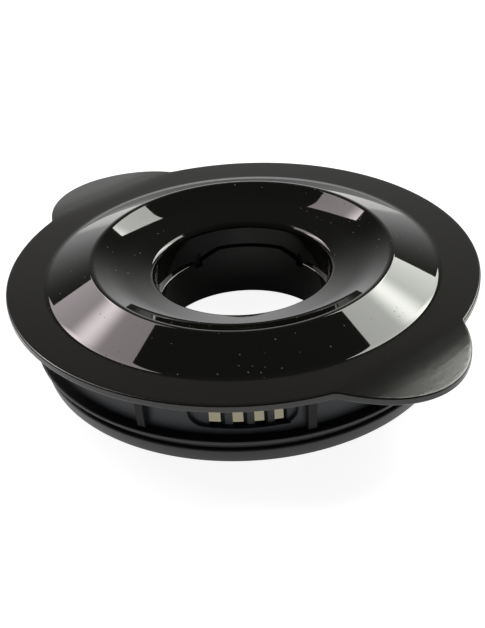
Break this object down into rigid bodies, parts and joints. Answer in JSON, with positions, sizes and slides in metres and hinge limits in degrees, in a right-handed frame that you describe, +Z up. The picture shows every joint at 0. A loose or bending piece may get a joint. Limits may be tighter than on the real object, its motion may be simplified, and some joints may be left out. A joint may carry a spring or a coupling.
{
  "type": "blender jar lid",
  "caption": "Round blender jar lid with finger ears, a raised crown round an open filler throat, a ribbed skirt with a strainer window, and a rubber seal.",
  "frame": {"origin": "middle of the seal's foot, on the plane that the lid rests on", "axes": "+X along the finger ears, +Z up through the throat, out of the jar"},
  "size_m": [0.1652, 0.1402, 0.0311],
  "materials": {
    "lid_plastic": "gloss black crown and throat, finely textured satin flange",
    "seal_rubber": "smooth moulded black rubber with a low sheen"
  },
  "bodies": {
    "root": {"lid_body": "lid_plastic", "seal_ring": "seal_rubber"}
  },
  "joints": []
}
